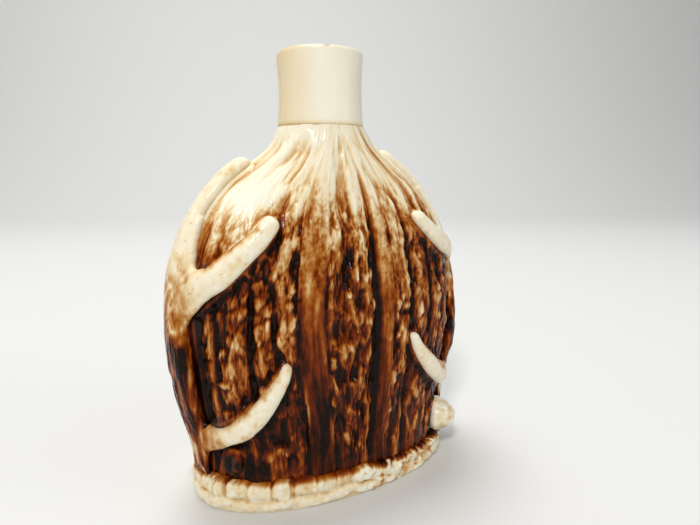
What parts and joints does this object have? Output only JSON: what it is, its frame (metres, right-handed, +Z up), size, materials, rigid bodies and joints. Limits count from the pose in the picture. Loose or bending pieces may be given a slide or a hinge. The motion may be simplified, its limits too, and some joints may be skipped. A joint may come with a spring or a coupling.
{
  "type": "ceramic spirit flask",
  "caption": "Flattened oval ceramic flask moulded like stag horn, with antlers in relief up both narrow sides, a plain tubular neck and a lumpy foot ring.",
  "frame": {"origin": "middle of the flat tread of the foot ring, on the surface the flask stands on", "axes": "+Z up through the neck, +X across the wide faces, -Y out of the front wide face"},
  "size_m": [0.0989, 0.0498, 0.13],
  "materials": {
    "horn_glaze": "glossy lead-type glaze over cream body, amber to chocolate brown pooled in the grooves, pale on the shoulder",
    "antler_glaze": "glossy cream glaze with tan wash in the creases",
    "neck_glaze": "glossy ivory glaze",
    "coronet_glaze": "glossy cream glaze, brown running down between the pearls",
    "slab_clay": "matt bare clay, unglazed underside"
  },
  "bodies": {
    "root": {"front_shell": "horn_glaze", "back_shell": "horn_glaze", "neck_collar": "neck_glaze", "base_plate": "slab_clay", "foot_coronet": "coronet_glaze", "left_antler_beam": "antler_glaze", "right_antler_beam": "antler_glaze", "left_front_upper_tine": "antler_glaze", "left_front_brow_tine": "antler_glaze", "left_front_burr_knob": "antler_glaze", "left_back_upper_tine": "antler_glaze", "left_back_brow_tine": "antler_glaze", "left_back_burr_knob": "antler_glaze", "right_front_upper_tine": "antler_glaze", "right_front_brow_tine": "antler_glaze", "right_front_burr_knob": "antler_glaze", "right_back_upper_tine": "antler_glaze", "right_back_brow_tine": "antler_glaze", "right_back_burr_knob": "antler_glaze"}
  },
  "joints": []
}
